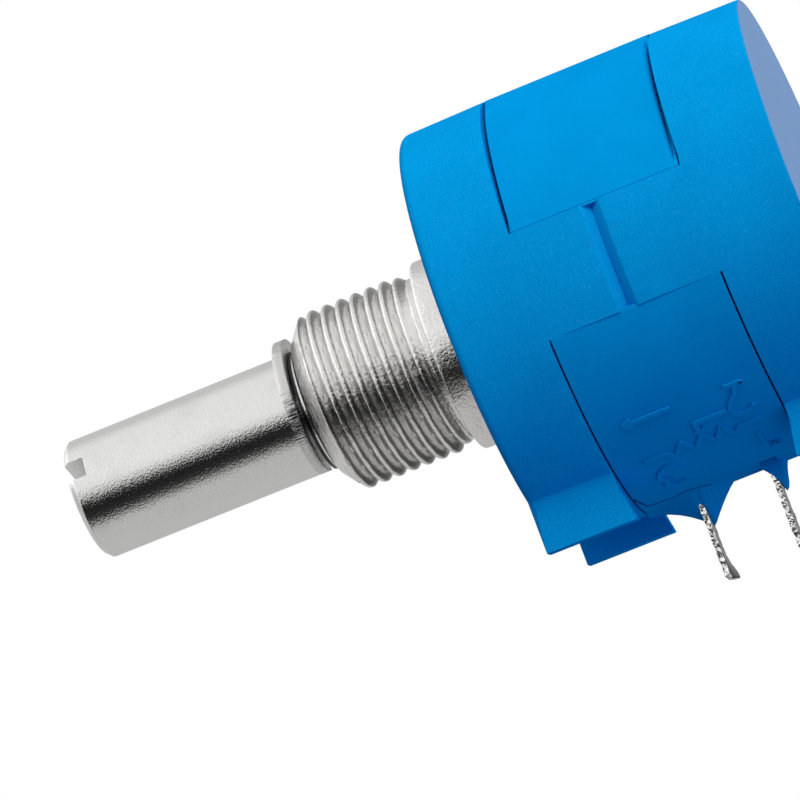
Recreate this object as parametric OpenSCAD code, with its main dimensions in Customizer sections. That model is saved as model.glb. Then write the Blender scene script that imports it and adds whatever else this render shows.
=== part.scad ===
// Ten-turn panel potentiometer: a round two-shell housing over a moulded element carrier,
// a threaded bushing, a plain slotted shaft and three solder terminals.
// Origin: on the shaft axis, in the plane of the collar that seats against the panel.
// The shaft points along -Y, the housing lies along +Y, and the terminals hang along -Z.
// All sizes are in millimetres.

/* [Housing] */
// Housing radius at the front and rear edges
body_r_end = 11.15; // [10:0.05:12.5]
// Housing radius at the parting line
body_r_mid = 11.3; // [10.1:0.05:12.7]
// Housing length along the shaft axis
body_len = 18.4; // [18:0.1:24]
// Thickness of each end wall
end_wall = 1.5; // [1:0.1:2.5]
// Rounding of the front edge
edge_fillet = 0.4; // [0.1:0.05:1]
// Rounding of the rear edge
rear_fillet = 0.12; // [0.05:0.01:1]
// Depth of the V groove between the two shells
groove_depth = 0.42; // [0.1:0.02:0.8]

/* [Shell windows] */
// Window length along the axis
window_len = 9.1; // [8.5:0.1:10.5]
// Angle of each window edge above or below the horizontal
window_angle = 14.4; // [10:0.2:24]
// Gap between a carrier pad and its window
window_gap = 0.1; // [0.05:0.01:0.3]
// Gap between a carrier pad and the two side lands
land_gap = 0.04; // [0.02:0.01:0.2]
// Distance of the two upper flats from the axis
flat_r = 9.7; // [9.6:0.05:10.9]

/* [Mounting rails] */
// Outer face of each rail from the centre plane
rail_x = 6.22; // [5.5:0.02:7]
// Rail thickness
rail_t = 1.03; // [0.8:0.01:1.6]
// Rail foot below the axis
rail_z = 11.95; // [11.6:0.05:13]
// Extra length of each rail foot past its window edge
rail_toe = 0.8; // [0:0.05:0.9]

/* [Bushing] */
// Major diameter of the 3/8-32 thread
thread_d = 9.525; // [9.525:0.001:9.525]
// Bushing length in front of the collar
bushing_len = 7.18; // [6:0.01:10]
// Collar diameter
collar_d = 10.15; // [9.9:0.05:12]
// Collar length between the panel plane and the housing
collar_len = 2.02; // [1:0.01:2.5]
// Diameter of the bushing stem held in the front wall
stem_d = 8.8; // [8:0.1:9.4]
// Radius of the bushing nose face
nose_r = 4.05; // [3.7:0.05:4.4]

/* [Shaft] */
// Shaft diameter
shaft_d = 6.35; // [6:0.01:6.35]
// Shaft tip in front of the collar
shaft_len = 20.2; // [14:0.1:30]
// Screwdriver slot width
slot_w = 1.1; // [0.8:0.05:1.6]
// Screwdriver slot depth
slot_d = 1.1; // [0.6:0.05:2]
// Angle of the slot above the horizontal at rest
slot_angle = 25; // [0:1:90]
// Radial running clearance of the shaft
running_gap = 0.05; // [0.02:0.01:0.09]

/* [Terminals] */
// Terminal blade width
blade_w = 1.36; // [1.2:0.01:1.6]
// Terminal blade thickness
blade_t = 0.28; // [0.22:0.01:0.4]
// Spacing of the terminals along the axis
blade_pitch = 3.95; // [3.8:0.05:4]
// Terminal tips below the axis
blade_tip = 15.9; // [14:0.1:20]

/* [Resistance element] */
// Number of electrical turns
turns = 10; // [10:1:10]
// Axial pitch of the resistance helix
helix_pitch = 1.08; // [1.02:0.01:1.1]
// Radius of the helix centre line
helix_r = 7.87; // [7.8:0.01:7.88]
// Radius of the wound mandrel wire
mandrel_r = 0.38; // [0.3:0.01:0.39]

/* [Rotor] */
// Rotor radius
rotor_r = 5; // [4.7:0.05:5]
// Width of the rotor's guide channel
channel_w = 2.6; // [2.2:0.1:3]
// Sliding clearance of the carriage in the channel
slide_gap = 0.1; // [0.05:0.01:0.15]
// Length of the wiper carriage along the axis
carriage_len = 2.2; // [1.8:0.1:2.4]

/* [Hidden] */
$fn = 96;
eps = 0.01;
body_y0 = collar_len;
body_y1 = body_y0 + body_len;
part_y = body_y0 + body_len * 0.478;
inner_y0 = body_y0 + end_wall;
inner_y1 = body_y1 - end_wall;
window_y0 = body_y0 + (body_len - window_len) / 2 - 0.1;
window_y1 = window_y0 + window_len;
carrier_r = 9.5;
carrier_in_r = helix_r + mandrel_r + 0.05;
shell_in_r = carrier_r + 0.05;
pad_r = body_r_mid - 0.06;
shaft_r = shaft_d / 2;
bore_r = shaft_r + running_gap;
core_r = 2.6;
tail_r = 1.9;
clip_y0 = -bushing_len - 0.9;
clip_t = 0.55;
clip_out_r = 3.55;
clip_shift = 0.46;
clip_angle = 45;
groove_r = 2.6;
washer_t = 0.15;
travel = turns * helix_pitch;
mid_y = (inner_y0 + inner_y1) / 2 - 0.5;
wiper_y = mid_y + travel / 2;
wiper_end_y = mid_y - travel / 2;
rotor_y0 = inner_y0 + 0.65;
rotor_y1 = wiper_y + carriage_len / 2 + 0.3;
ring_len = inner_y1 - 0.6 - rotor_y1;
ring_y1 = rotor_y1 + ring_len;
ring_r = 4.3;
blade_3_y = window_y0 + 2.83;
blade_1_y = blade_3_y + blade_pitch;
blade_2_y = blade_1_y + blade_pitch;
blade_top = carrier_in_r + 0.3;
tap_w = 0.4;
tongue_x = 1.8;
tongue_y1 = blade_2_y + 1.1;
boss_x = 1.35;
boss_root = pad_r - 0.19;
rib_x = 0.9;
rail_top = carrier_r - 0.9;
rail_knee = rail_z - 1.75;
slot_roof = carrier_in_r - 1.3;
stop_in_r = 5.6;
stop_out_r = 7;
head_in_r = rotor_r + 0.2;
head_out_r = 6.5;
head_half = 20;
strip_t = 0.2;
strip_w = channel_w - 1.4;
shim_r = shaft_r + 0.475;
thrust_r = tail_r + 1.5;
tip_chamfer = 0.3;
channel_floor = 3.4;

// Extrudes a flat X-Z outline from y = a to y = b.
module slab_y(a, b) {
    translate([0, b, 0]) rotate([90, 0, 0]) linear_extrude(b - a) children();
}

// Extrudes a flat Y-Z outline from x = a to x = b.
module slab_x(a, b) {
    translate([a, 0, 0]) rotate([90, 0, 90]) linear_extrude(b - a) children();
}

// Turns an outline given as radius and y about the shaft axis.
module revolve_y() {
    rotate([-90, 0, 0]) rotate_extrude() children();
}

// A plain cylinder on the shaft axis.
module rod_y(r, a, b) {
    translate([0, a, 0]) rotate([-90, 0, 0]) cylinder(r = r, h = b - a);
}

// A ring on the shaft axis.
module ring_y(r_out, r_in, a, b) {
    difference() {
        rod_y(r_out, a, b);
        rod_y(r_in, a - 1, b + 1);
    }
}

// A flat sector of the X-Z plane between two angles and two radii.
module sector(r_in, r_out, a, b) {
    steps = 6;
    reach = r_out * 1.3;
    difference() {
        intersection() {
            circle(r_out);
            polygon(concat([[0, 0]], [for (i = [0:steps])
                reach * [cos(a + (b - a) * i / steps), sin(a + (b - a) * i / steps)]]));
        }
        if (r_in > 0) circle(r_in);
    }
}

// Half outline of one shell: s = 1 for the front one, -1 for the rear one.
module shell_outline(y_end, s, f) {
    difference() {
        union() {
            polygon([
                [0, y_end], [body_r_end - f, y_end], [body_r_end, y_end + s * f],
                [body_r_mid, part_y], [0, part_y]
            ]);
            translate([body_r_end - f, y_end + s * f]) circle(f);
        }
        polygon([
            [0, y_end + s * end_wall], [shell_in_r, y_end + s * end_wall],
            [shell_in_r, part_y + s], [0, part_y + s]
        ]);
        polygon([
            [body_r_mid + 1, part_y - s * (groove_depth + 1)], [body_r_mid + 1, part_y + s],
            [body_r_mid - groove_depth, part_y + s], [body_r_mid - groove_depth, part_y]
        ]);
    }
}

// Side outline of the pair of rails on one shell.
module rail_outline(y_face, y_window, s) {
    polygon([
        [y_face + s * 0.08, -rail_top], [y_window, -rail_top], [y_window, -rail_knee],
        [y_window + s * rail_toe, -rail_z], [y_face + s * 0.08, -rail_z]
    ]);
}

// The two rails, joined to the shell wall and clear of its inside.
module rails(y_face, y_window, s) {
    difference() {
        for (side = [-1, 1]) {
            x0 = side > 0 ? rail_x - rail_t : -rail_x;
            slab_x(x0, x0 + rail_t) rail_outline(y_face, y_window, s);
        }
        rod_y(shell_in_r + 0.3, -5, 30);
    }
}

// The openings above and below the two side lands.
module window_cut(a, b) {
    slab_y(a, b) {
        sector(0, 14, window_angle, 180 - window_angle);
        sector(0, 14, -180 + window_angle, -window_angle);
    }
}

// Front half of the housing with the panel-side wall.
module front_shell() {
    color([0.02, 0.42, 0.72]) {
        difference() {
            union() {
                revolve_y() shell_outline(body_y0, 1, edge_fillet);
                rails(body_y0, window_y0, 1);
            }
            window_cut(window_y0, part_y + 1);
            rod_y(stem_d / 2, body_y0 - 1, inner_y0 + 1);
        }
        // rotation stop that the carriage meets at the last turn
        slab_y(inner_y0 - eps, wiper_end_y - carriage_len / 2 + 0.6)
            sector(stop_in_r, stop_out_r, 90 - head_half - 26, 90 - head_half - 2);
    }
}

// Rear half of the housing with the blind rear bearing.
module rear_shell() {
    color([0.02, 0.42, 0.72]) {
        difference() {
            union() {
                revolve_y() shell_outline(body_y1, -1, rear_fillet);
                rails(body_y1, window_y1, -1);
            }
            window_cut(part_y - 1, window_y1);
            rod_y(tail_r + running_gap, inner_y1 - 1, body_y1 - 0.3);
            // slot that takes the carrier's terminal tongue
            translate([-tongue_x - window_gap, window_y1 - 1, -body_r_mid - 1])
                cube([2 * (tongue_x + window_gap), tongue_y1 + window_gap - window_y1 + 1,
                      body_r_mid + 1.2 - carrier_in_r]);
        }
        // rotation stop that the carriage meets at the first turn
        slab_y(wiper_y + carriage_len / 2 - 0.6, inner_y1 + eps)
            sector(stop_in_r, stop_out_r, 90 + head_half + 2, 90 + head_half + 26);
    }
}

// Web that runs down onto a terminal from the housing underside, drawn about the blade.
// Its ridge falls from the front to its lowest point at y = tip and climbs again to y = back.
// base and depth are the ridge's depths at the front and at the lowest point, share is the
// part of them that its upright sides reach, and bend_in and bend_out curve its two slopes.
module web(front, tip, back, base, depth, wide, narrow, share, bend_in, bend_out) {
    n = 6;
    low = depth * 0.9;
    nose_y = tip + depth * 0.09;
    ys = concat([for (i = [0:n]) -front + (front + tip) * i / n],
                [for (i = [0:n]) nose_y + (back - nose_y) * i / n]);
    zs = concat([for (i = [0:n]) base + (depth - base) * pow(i / n, bend_in)],
                [for (i = [0:n]) low * pow(1 - i / n, bend_out) + 0.02]);
    xs = concat([for (i = [0:n]) wide + (narrow - wide) * i / n], [for (i = [0:n]) narrow]);
    top = 1.5;
    count = len(ys);
    points = [for (k = [0:count - 1]) each [
        [-xs[k], ys[k], top], [xs[k], ys[k], top],
        [xs[k], ys[k], -0.01 - share * zs[k]], [0, ys[k], -0.02 - zs[k]],
        [-xs[k], ys[k], -0.01 - share * zs[k]]
    ]];
    sides = [for (k = [0:count - 2]) for (j = [0:4]) each [
        [5 * k + j, 5 * k + (j + 1) % 5, 5 * (k + 1) + j],
        [5 * k + (j + 1) % 5, 5 * (k + 1) + (j + 1) % 5, 5 * (k + 1) + j]
    ]];
    last = 5 * (count - 1);
    polyhedron(points = points, faces = concat(
        sides, [[4, 3, 2, 1, 0]], [[for (j = [0:4]) last + j]]
    ), convexity = 4);
}

// Solid body of one carrier pad seen through a window.
module pad_ring() {
    edge = window_angle + asin(land_gap / pad_r);
    slab_y(window_y0 + window_gap, window_y1 - window_gap) {
        difference() {
            sector(0, pad_r, edge, 180 - edge);
            for (side = [-1, 1]) rotate(90 + side * (45)) translate([flat_r, -10]) square([4, 20]);
        }
        sector(0, pad_r, -180 + edge, -edge);
    }
}

// Moulded carrier: the tube that holds the helix, the pads in the windows and the
// terminal block with its three webs.
module element_carrier() {
    color([0.02, 0.38, 0.66]) {
        difference() {
            union() {
                rod_y(carrier_r, inner_y0, inner_y1);
                pad_ring();
                // tongue that carries the rear terminal through the rear shell
                slab_y(window_y1 - 1, tongue_y1) intersection() {
                    circle(pad_r);
                    translate([-tongue_x, -pad_r - 1])
                        square([2 * tongue_x, pad_r + 2 - carrier_in_r]);
                }
                translate([0, blade_3_y, -boss_root])
                    web(2.7, 0.23, 2.25, 0.4, 1.95, boss_x + 0.5, boss_x, 0, 1.85, 1.28);
                for (y = [blade_1_y, blade_2_y]) translate([0, y, -boss_root])
                    web(0.43, 0.3, 0.95, 0.28, 1.66, rib_x, rib_x, 0.78, 1.3, 2.1);
            }
            rod_y(carrier_in_r, inner_y0 - 1, inner_y1 + 1);
            // pockets for the blades, the end taps and the brush
            for (y = [blade_3_y, blade_1_y, blade_2_y])
                translate([-blade_w / 2, y - blade_t / 2, -20])
                    cube([blade_w, blade_t, 20 - blade_top]);
            translate([-tap_w / 2, wiper_end_y - helix_pitch / 2 - tap_w / 2, -blade_top - tap_w])
                cube([tap_w, blade_3_y - wiper_end_y + helix_pitch / 2, blade_top + tap_w - slot_roof]);
            translate([-tap_w / 2, blade_1_y, -blade_top - tap_w])
                cube([tap_w, wiper_y + helix_pitch / 2 + tap_w / 2 - blade_1_y, blade_top + tap_w - slot_roof]);
            translate([-0.5, blade_2_y, -blade_top - 0.7]) cube([1, 0.9, blade_top + 0.7 - slot_roof]);
            // moulded relief beside the middle terminal
            translate([rib_x, blade_1_y - 0.4, -boss_root - 0.9]) cube([0.95, 0.95, 1.3]);
        }
    }
}

// Threaded bushing with its collar, held in the front wall by a rolled lip.
module bushing() {
    color([0.75, 0.75, 0.76]) revolve_y() difference() {
        polygon([
            [0, -bushing_len], [nose_r, -bushing_len],
            [thread_d / 2, -bushing_len + (thread_d / 2 - nose_r) * 1.1],
            [thread_d / 2, 0], [collar_d / 2 - 0.12, 0], [collar_d / 2, 0.2],
            [collar_d / 2, collar_len], [stem_d / 2, collar_len], [stem_d / 2, inner_y0],
            [stem_d / 2 + 0.5, inner_y0], [stem_d / 2 + 0.5, inner_y0 + 0.2],
            [stem_d / 2 + 0.2, inner_y0 + 0.4], [0, inner_y0 + 0.4]
        ]);
        translate([-1, -bushing_len - 1]) square([bore_r + 1, bushing_len + inner_y0 + 3]);
    }
}

// Shaft: slotted tip, clip groove, seal groove, rotor core and rear tail.
module shaft() {
    color([0.78, 0.78, 0.79]) difference() {
        revolve_y() difference() {
            polygon([
                [0, -shaft_len], [shaft_r - tip_chamfer, -shaft_len],
                [shaft_r, -shaft_len + tip_chamfer],
                [shaft_r, rotor_y0], [core_r, rotor_y0], [core_r, ring_y1], [tail_r, ring_y1],
                [tail_r, body_y1 - 0.55], [tail_r - 0.3, body_y1 - 0.35], [0, body_y1 - 0.35]
            ]);
            translate([groove_r, clip_y0]) square([2, clip_t]);
            translate([2.35, 0.8]) square([2, 1.2]);
        }
        rotate([0, -slot_angle, 0])
            translate([-5, -shaft_len - 1, -slot_w / 2]) cube([10, slot_d + 1, slot_w]);
    }
}

// Crescent clip snapped into the shaft groove.
module retaining_clip() {
    color([0.7, 0.7, 0.71]) slab_y(clip_y0, clip_y0 + clip_t) rotate(clip_angle) difference() {
        translate([clip_shift, 0]) circle(clip_out_r);
        circle(groove_r);
        translate([-6, -1.9]) square([6, 3.8]);
    }
}

// Thin thrust shim behind the clip.
module shim_washer() {
    color([0.6, 0.6, 0.6])
        ring_y(shim_r, bore_r, clip_y0 + clip_t, clip_y0 + clip_t + washer_t);
}

// Rubber seal in the shaft groove.
module shaft_seal() {
    color([0.1, 0.1, 0.1]) revolve_y() translate([2.35 + 0.4, 1.4]) circle(0.4);
}

// Insulating rotor moulded on the shaft, with the axial guide channel.
module rotor() {
    color([0.85, 0.85, 0.8]) difference() {
        union() {
            rod_y(rotor_r, rotor_y0, rotor_y1);
            rod_y(channel_floor - 0.2, rotor_y1 - 0.5, ring_y1);
        }
        rod_y(core_r, rotor_y0 - 1, ring_y1 + 1);
        translate([-channel_w / 2, rotor_y0 - 1, channel_floor])
            cube([channel_w, rotor_y1 - rotor_y0 + 2, 4]);
        translate([-strip_w / 2, rotor_y0 + 0.3, channel_floor - strip_t])
            cube([strip_w, rotor_y1 - rotor_y0 - 0.3, 1]);
    }
}

// Brass strip in the channel floor, joined to the slip ring.
module collector_strip() {
    color([0.8, 0.62, 0.3])
        translate([-strip_w / 2, rotor_y0 + 0.3, channel_floor - strip_t])
            cube([strip_w, rotor_y1 - rotor_y0 - 0.3, strip_t]);
}

// Brass slip ring on the rotor's rear hub.
module slip_ring() {
    color([0.8, 0.62, 0.3]) ring_y(ring_r, channel_floor - 0.2, rotor_y1, ring_y1);
}

// Carriage that slides in the rotor channel and follows the helix.
module wiper_carriage() {
    y0 = wiper_y - carriage_len / 2;
    color([0.9, 0.88, 0.8]) difference() {
        slab_y(y0, y0 + carriage_len) {
            sector(head_in_r, head_out_r, 90 - head_half, 90 + head_half);
            translate([-channel_w / 2 + slide_gap, channel_floor + 0.4])
                square([channel_w - 2 * slide_gap, head_in_r - channel_floor]);
        }
        translate([-0.15, wiper_y - 0.4, 0]) cube([0.3, 0.8, 10]);
    }
}

// Contact blade through the carriage, from the collector strip to the helix.
module wiper_contact() {
    top = helix_r - mandrel_r - 0.15;
    color([0.85, 0.6, 0.3]) slab_x(-0.15, 0.15) polygon([
        [wiper_y - 0.4, channel_floor + 0.4], [wiper_y - 0.1, channel_floor + 0.12],
        [wiper_y + 0.1, channel_floor + 0.12], [wiper_y + 0.4, channel_floor + 0.4],
        [wiper_y + 0.4, top - 0.4], [wiper_y + 0.12, top], [wiper_y - 0.12, top],
        [wiper_y - 0.4, top - 0.4]
    ]);
}

// Wound mandrel: one helix of resistance wire former, half a turn longer at each end.
module resistance_element() {
    per_turn = 24;
    sides = 8;
    count = (turns + 1) * per_turn;
    start_y = wiper_y + helix_pitch / 2;
    points = [for (k = [0:count]) for (j = [0:sides - 1])
        let (a = 270 - 360 * k / per_turn,
             y = start_y - helix_pitch * k / per_turn,
             r = helix_r + mandrel_r * cos(360 * j / sides))
        [r * cos(a), y + mandrel_r * sin(360 * j / sides), r * sin(a)]
    ];
    walls = [for (k = [0:count - 1]) for (j = [0:sides - 1]) each [
        [sides * k + j, sides * k + (j + 1) % sides, sides * (k + 1) + j],
        [sides * k + (j + 1) % sides, sides * (k + 1) + (j + 1) % sides, sides * (k + 1) + j]
    ]];
    color([0.35, 0.3, 0.28]) polyhedron(points = points, faces = concat(
        walls,
        [[for (j = [sides - 1:-1:0]) j]],
        [[for (j = [0:sides - 1]) sides * count + j]]
    ), convexity = 20);
}

// Tap from one terminal to one end of the helix.
module tap(y_from, y_to, dir) {
    slab_x(-tap_w / 2, tap_w / 2) polygon([
        [y_from, -blade_top - tap_w], [y_to + dir * tap_w / 2, -blade_top - tap_w],
        [y_to + dir * tap_w / 2, -carrier_in_r + 0.03], [y_to - dir * tap_w / 2, -carrier_in_r + 0.03],
        [y_to - dir * tap_w / 2, -blade_top], [y_from, -blade_top]
    ]);
}

module front_tap() {
    color([0.8, 0.62, 0.3])
        tap(blade_3_y - blade_t / 2, wiper_end_y - helix_pitch / 2, -1);
}

module rear_tap() {
    color([0.8, 0.62, 0.3])
        tap(blade_1_y + blade_t / 2, wiper_y + helix_pitch / 2, 1);
}

// One solder blade with its coined tip.
module terminal(y) {
    w = blade_w / 2;
    color([0.8, 0.8, 0.8]) slab_y(y - blade_t / 2, y + blade_t / 2) polygon([
        [-w, -blade_top], [-w, -blade_tip + 0.95], [-w + 0.1, -blade_tip + 0.85],
        [-w + 0.1, -blade_tip + 0.75], [-w, -blade_tip + 0.65], [-w, -blade_tip],
        [w - 0.3, -blade_tip], [w, -blade_tip + 0.25], [w, -blade_tip + 0.65],
        [w - 0.1, -blade_tip + 0.75], [w - 0.1, -blade_tip + 0.85], [w, -blade_tip + 0.95],
        [w, -blade_top]
    ]);
}

module terminal_1() {
    terminal(blade_1_y);
}

module terminal_2() {
    terminal(blade_2_y);
}

module terminal_3() {
    terminal(blade_3_y);
}

// Spring brush from the rear terminal to the slip ring.
module collector_brush() {
    y0 = blade_2_y + blade_t / 2;
    y1 = ring_y1 - ring_len / 2;
    t = 0.2;
    color([0.85, 0.6, 0.3]) slab_x(-0.5, 0.5) polygon([
        [y0, -blade_top - 0.7], [y0, 0.1 - blade_top], [y1 - t / 2, 0.5 - blade_top],
        [y1 - t / 2, -ring_r - 0.1], [y1 + t / 2, -ring_r - 0.1], [y1 + t / 2, 0.4 - blade_top],
        [y0 + t, -blade_top], [y0 + t, -blade_top - 0.7]
    ]);
}

// Thrust washer between the rotor hub and the rear wall.
module thrust_washer() {
    color([0.9, 0.9, 0.9]) ring_y(thrust_r, tail_r, ring_y1, ring_y1 + 0.5);
}

front_shell();
rear_shell();
element_carrier();
bushing();
shaft();
retaining_clip();
shim_washer();
shaft_seal();
rotor();
collector_strip();
slip_ring();
wiper_carriage();
wiper_contact();
resistance_element();
front_tap();
rear_tap();
terminal_1();
terminal_2();
terminal_3();
collector_brush();
thrust_washer();
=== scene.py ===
"""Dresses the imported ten-turn panel potentiometer and sets up its studio.

Sizes in the classes are millimetres in the frame of the part: the shaft runs along -Y,
the housing lies along +Y and the terminals hang along -Z. Meshes are written in metres.
"""
import logging
import math
from dataclasses import dataclass
from enum import Enum
from typing import Callable, ClassVar, Dict, List, Optional, Sequence, Tuple, Union

import bmesh
import bpy
import numpy as np
from mathutils import Matrix, Vector


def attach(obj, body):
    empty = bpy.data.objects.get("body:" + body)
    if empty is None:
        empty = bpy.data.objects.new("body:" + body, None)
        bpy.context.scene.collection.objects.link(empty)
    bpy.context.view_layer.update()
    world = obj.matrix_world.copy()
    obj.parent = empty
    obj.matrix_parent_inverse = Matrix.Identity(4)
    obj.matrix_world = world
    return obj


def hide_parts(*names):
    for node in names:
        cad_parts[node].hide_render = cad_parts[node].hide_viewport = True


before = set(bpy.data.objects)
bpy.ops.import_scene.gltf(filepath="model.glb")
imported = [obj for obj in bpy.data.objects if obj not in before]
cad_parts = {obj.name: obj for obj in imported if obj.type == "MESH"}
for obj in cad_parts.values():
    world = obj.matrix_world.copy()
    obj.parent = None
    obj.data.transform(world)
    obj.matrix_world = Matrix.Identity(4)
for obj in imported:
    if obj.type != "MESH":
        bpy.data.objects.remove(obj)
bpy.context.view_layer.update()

MM = 0.001

logging.basicConfig(level=logging.INFO, format="%(name)s: %(message)s")
log = logging.getLogger("potentiometer")

Number = Union[int, float]
Term = Union["Signal", Number]
Settings = Optional[Dict[str, object]]
Values = Optional[Dict[Union[str, int], object]]
Piece = bpy.types.Object
Colour = Tuple[float, float, float]
Point = Tuple[float, float]
Place = Tuple[float, float, float]
Faces = List[Tuple[int, ...]]
Where = Optional[Callable[[Vector], bool]]


class Body(Enum):
    """The bodies that dressed pieces ride on."""

    HOUSING = "housing"
    ROTOR = "rotor_assembly"


class Grain(Enum):
    """How a metal surface was left by its last operation."""

    TUMBLED = "tumbled"
    TURNED = "turned"
    SHEARED = "sheared"
    ROLLED = "rolled"


# ---- node trees


class Signal:
    """A number or vector carried by a node socket, with arithmetic on it."""

    def __init__(self, graph: "Graph", socket: bpy.types.NodeSocket) -> None:
        """Wraps one output socket of a graph."""
        self.graph = graph
        self.socket = socket

    def math(self, operation: str, *terms: Term) -> "Signal":
        """Adds one Math node.

        Args:
            operation: The Math node's operation.
            terms: Its inputs in order, signals or plain numbers.

        Returns:
            The node's result.
        """
        node = self.graph.node("ShaderNodeMath", {"operation": operation}, dict(enumerate(terms)))
        return Signal(self.graph, node.outputs[0])

    def __add__(self, other: Term) -> "Signal":
        """Signal plus other."""
        return self.math("ADD", self, other)

    def __mul__(self, other: Term) -> "Signal":
        """Signal times other."""
        return self.math("MULTIPLY", self, other)

    __radd__ = __add__
    __rmul__ = __mul__

    def __sub__(self, other: Term) -> "Signal":
        """Signal minus other."""
        return self.math("SUBTRACT", self, other)

    def __rsub__(self, other: Number) -> "Signal":
        """A number minus the signal."""
        return self.math("SUBTRACT", other, self)

    def __truediv__(self, other: Term) -> "Signal":
        """Signal divided by other."""
        return self.math("DIVIDE", self, other)

    def __pow__(self, other: Term) -> "Signal":
        """Signal to a power."""
        return self.math("POWER", self, other)

    def size(self) -> "Signal":
        """The signal without its sign."""
        return self.math("ABSOLUTE", self)

    def sine(self) -> "Signal":
        """Sine of the signal in radians."""
        return self.math("SINE", self)

    def cosine(self) -> "Signal":
        """Cosine of the signal in radians."""
        return self.math("COSINE", self)

    def least(self, other: Term) -> "Signal":
        """The smaller of the two."""
        return self.math("MINIMUM", self, other)

    def most(self, other: Term) -> "Signal":
        """The larger of the two."""
        return self.math("MAXIMUM", self, other)

    def smooth(self, low: Number, high: Number) -> "Signal":
        """A soft step.

        Args:
            low: Where the result is 0.
            high: Where the result is 1, which may be the smaller number.

        Returns:
            A number from 0 to 1.
        """
        t = ((self - low) / (high - low)).least(1.0).most(0.0)
        return t * t * (3.0 - 2.0 * t)


class Graph:
    """A node tree and the calls that fill it."""

    def __init__(self, tree: bpy.types.NodeTree) -> None:
        """Empties a tree and keeps it."""
        self.tree = tree
        tree.nodes.clear()

    def node(self, kind: str, settings: Settings = None, values: Values = None) -> bpy.types.Node:
        """Adds a node.

        Args:
            kind: The node's type.
            settings: Its properties, set before its sockets.
            values: Its input sockets by name or number, as values, signals or sockets.

        Returns:
            The new node.
        """
        node = self.tree.nodes.new(kind)
        for name, value in (settings or {}).items():
            setattr(node, name, value)
        self.fill(node, values or {})
        return node

    def fill(self, node: bpy.types.Node, values: Dict[Union[str, int], object]) -> None:
        """Feeds a node's inputs by name or number."""
        for key, value in values.items():
            self.feed(node.inputs[key], value)

    def feed(self, socket: bpy.types.NodeSocket, value: object) -> None:
        """Links a signal or socket to an input, or sets the input's own value."""
        if isinstance(value, Signal):
            self.tree.links.new(value.socket, socket)
        elif isinstance(value, bpy.types.NodeSocket):
            self.tree.links.new(value, socket)
        else:
            socket.default_value = value

    def out(
        self, kind: str, output: Union[str, int] = 0, settings: Settings = None, values: Values = None
    ) -> Signal:
        """Adds a node and returns one of its outputs as a signal."""
        return Signal(self, self.node(kind, settings, values).outputs[output])

    def parts(self, vector: Signal) -> Tuple[Signal, Signal, Signal]:
        """The three numbers of a vector signal."""
        node = self.node("ShaderNodeSeparateXYZ", values={0: vector})
        return tuple(Signal(self, output) for output in node.outputs)

    def vector(self, x: object, y: object, z: object) -> Signal:
        """A vector signal from three numbers or signals."""
        return self.out("ShaderNodeCombineXYZ", values={0: x, 1: y, 2: z})

    def scaled(self, vector: Signal, factor: Sequence[float]) -> Signal:
        """A vector signal multiplied axis by axis."""
        return self.out(
            "ShaderNodeVectorMath", settings={"operation": "MULTIPLY"}, values={0: vector, 1: tuple(factor)}
        )

    def noise(self, vector: Signal, scale: float, detail: float = 2.0, rough: float = 0.5) -> Signal:
        """Fine noise from 0 to 1 with features about 1 / scale long."""
        values = {"Vector": vector, "Scale": scale, "Detail": detail, "Roughness": rough}
        return self.out("ShaderNodeTexNoise", values=values)

    def share(self, name: str) -> Signal:
        """A number that each point of the mesh carries."""
        return self.out(
            "GeometryNodeInputNamedAttribute", "Attribute", {"data_type": "FLOAT"}, {"Name": name}
        )

    def moved(self, geometry: Signal, x: Signal, y: Signal, z: Signal) -> Signal:
        """Geometry with its points put at new places."""
        values = {"Geometry": geometry, "Position": self.vector(x, y, z)}
        return self.out("GeometryNodeSetPosition", values=values)

    def blend(self, factor: Term, first: object, second: object) -> Signal:
        """Mixes two colours.

        Args:
            factor: 0 gives the first colour and 1 the second.
            first: A colour signal or plain colour.
            second: A colour signal or plain colour.

        Returns:
            The mixed colour.
        """
        node = self.tree.nodes.new("ShaderNodeMix")
        node.data_type = "RGBA"
        self.feed(node.inputs[0], factor)
        for socket, value in ((node.inputs[6], first), (node.inputs[7], second)):
            self.feed(socket, value if isinstance(value, Signal) else (*value, 1.0))
        return Signal(self, node.outputs[2])


# ---- finishes


@dataclass(frozen=True)
class Finish:
    """What every finish shares: a name and one shader."""

    name: str
    made: ClassVar[Dict[str, bpy.types.Material]] = {}

    def material(self) -> bpy.types.Material:
        """The finish as a material, made once."""
        if self.name not in Finish.made:
            material = bpy.data.materials.new(self.name)
            material.use_nodes = True
            graph = Graph(material.node_tree)
            shader = graph.node("ShaderNodeBsdfPrincipled")
            place = graph.out("ShaderNodeTexCoord", "Object")
            self.paint(graph, shader, place)
            graph.node("ShaderNodeOutputMaterial", values={"Surface": shader.outputs[0]})
            Finish.made[self.name] = material
        return Finish.made[self.name]

    def paint(self, graph: Graph, shader: bpy.types.Node, place: Signal) -> None:
        """Fills the shader's sockets.

        Args:
            graph: The material's node tree.
            shader: Its principled shader.
            place: Object coordinates in metres.
        """
        raise NotImplementedError

    @staticmethod
    def relief(graph: Graph, height: Signal, strength: float, depth_mm: float) -> Signal:
        """The normal of a surface with a height signal on it."""
        values = {"Strength": strength, "Distance": depth_mm * MM, "Height": height}
        return graph.out("ShaderNodeBump", "Normal", values=values)


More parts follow.
